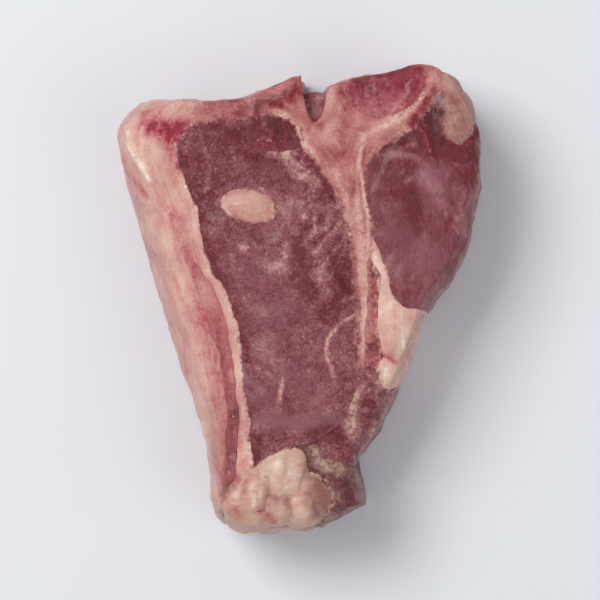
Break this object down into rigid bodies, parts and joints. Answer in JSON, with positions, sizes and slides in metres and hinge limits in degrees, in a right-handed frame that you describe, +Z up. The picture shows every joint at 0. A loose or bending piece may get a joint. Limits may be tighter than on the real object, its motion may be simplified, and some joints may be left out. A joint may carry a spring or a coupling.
{
  "type": "raw lamb loin chop",
  "caption": "Raw bone-in lamb loin chop lying on a cut face: loin eye and tenderloin either side of a T-shaped bone, with back fat, kidney fat and a fatty tail.",
  "frame": {"origin": "centre of the chop's box, on the flat lower cut face", "axes": "+X from the back fat to the tenderloin, +Y from the tail to the backbone, +Z up out of the upper cut face"},
  "size_m": [0.0762, 0.0978, 0.0298],
  "materials": {
    "t_bone": "damp sawn bone, faintly porous",
    "bone_marrow": "wet red spongy bone",
    "canal_tissue": "wet soft tissue",
    "loin_eye": "moist cut lean meat",
    "spine_muscle": "moist dark lean meat",
    "fat_kernel": "firm cream fat",
    "fat_cap": "firm pink-white back fat",
    "cap_muscle": "thin moist pink muscle",
    "tail_fat": "lobed cream fat",
    "tail_muscle": "moist brown-red lean meat",
    "flank_muscle": "moist dark red lean meat",
    "side_muscle": "moist dark red lean meat",
    "kidney_fat": "soft cream fat",
    "tenderloin": "moist fine-grained lean meat",
    "crus_muscle": "moist very dark lean meat",
    "chine_fat": "tan fat"
  },
  "bodies": {
    "root": {"t_bone": "t_bone", "bone_marrow": "bone_marrow", "canal_tissue": "canal_tissue", "loin_eye": "loin_eye", "spine_muscle": "spine_muscle", "fat_kernel": "fat_kernel", "fat_cap": "fat_cap", "cap_muscle": "cap_muscle", "tail_fat": "tail_fat", "tail_muscle": "tail_muscle", "flank_muscle": "flank_muscle", "side_muscle": "side_muscle", "kidney_fat": "kidney_fat", "tenderloin": "tenderloin", "crus_muscle": "crus_muscle", "chine_fat": "chine_fat"}
  },
  "joints": []
}
